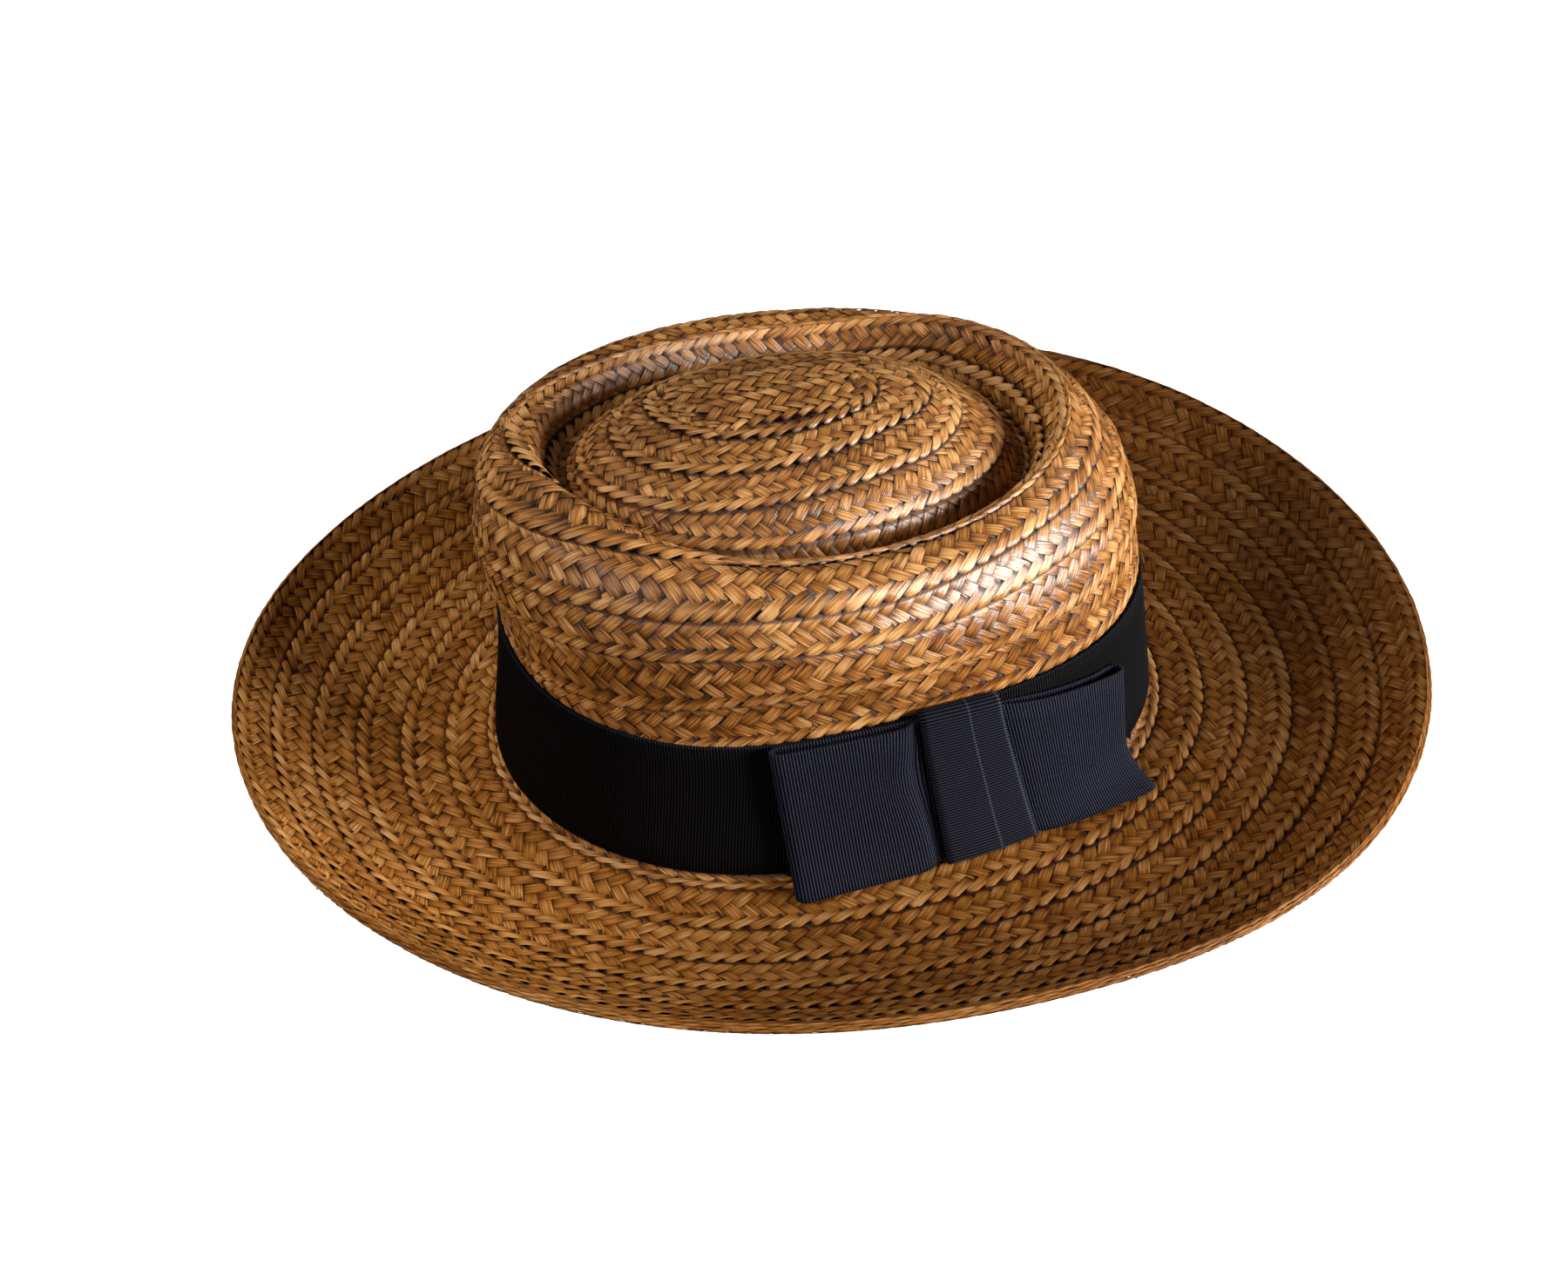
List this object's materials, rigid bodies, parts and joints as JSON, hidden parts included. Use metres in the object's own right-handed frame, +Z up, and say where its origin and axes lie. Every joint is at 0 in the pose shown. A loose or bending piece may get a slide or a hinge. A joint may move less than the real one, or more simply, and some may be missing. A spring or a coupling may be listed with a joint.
{
  "type": "straw hat",
  "caption": "Straw sun hat sewn from a herringbone plait: oval crown with a sunken ring round a raised dome, wide brim turned up at the edge, ribbon band and a flat side bow.",
  "frame": {"origin": "under the middle of the hat's bounding box, on the surface the brim rests on", "axes": "+Z up, -Y to the front of the hat, +X to the wearer's left, the side with the bow"},
  "size_m": [0.3242, 0.3592, 0.1177],
  "materials": {
    "straw": "woven straw plait, golden brown, slightly glossy",
    "grosgrain": "matte ribbed ribbon, nearly black navy"
  },
  "bodies": {
    "root": {"crown_and_brim": "straw", "hat_band": "grosgrain", "bow_front_loop": "grosgrain", "bow_back_loop": "grosgrain", "bow_knot": "grosgrain"}
  },
  "joints": []
}
